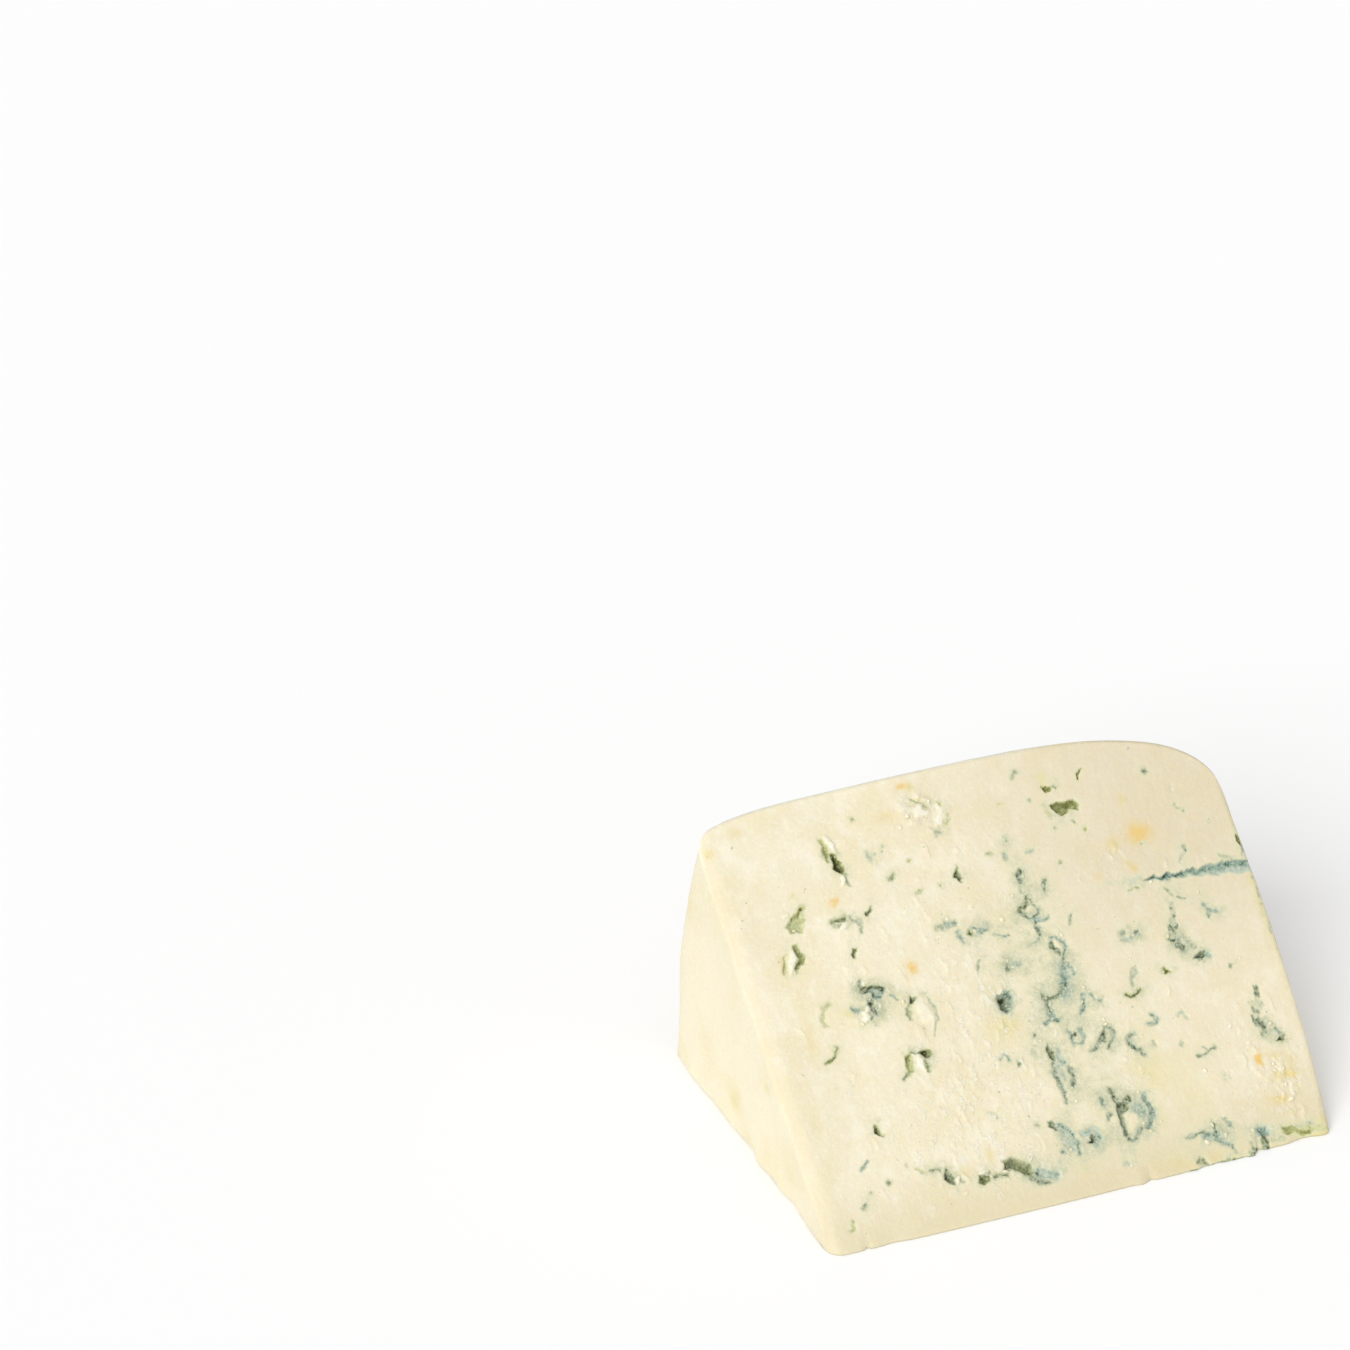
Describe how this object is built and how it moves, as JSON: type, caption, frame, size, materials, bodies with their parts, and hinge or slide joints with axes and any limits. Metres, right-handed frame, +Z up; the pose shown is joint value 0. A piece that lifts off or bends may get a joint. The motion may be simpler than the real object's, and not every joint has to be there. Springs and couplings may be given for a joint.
{
  "type": "blue cheese wedge",
  "caption": "Wedge of soft blue cheese lying on one cut face, with mould pockets, veins and a needle channel on the upper cut face and a rounded rind at the back",
  "frame": {"origin": "middle of the underside's bounding box, on the surface that the wedge lies on", "axes": "+X along the thin edge, across the height of the wheel it was cut from; +Y from the thin edge back to the rind; +Z up"},
  "size_m": [0.1024, 0.076, 0.0557],
  "materials": {
    "cheese_wedge": "moist cream-coloured cheese paste with blue-green mould, satin"
  },
  "bodies": {
    "root": {"cheese_wedge": "cheese_wedge"}
  },
  "joints": []
}
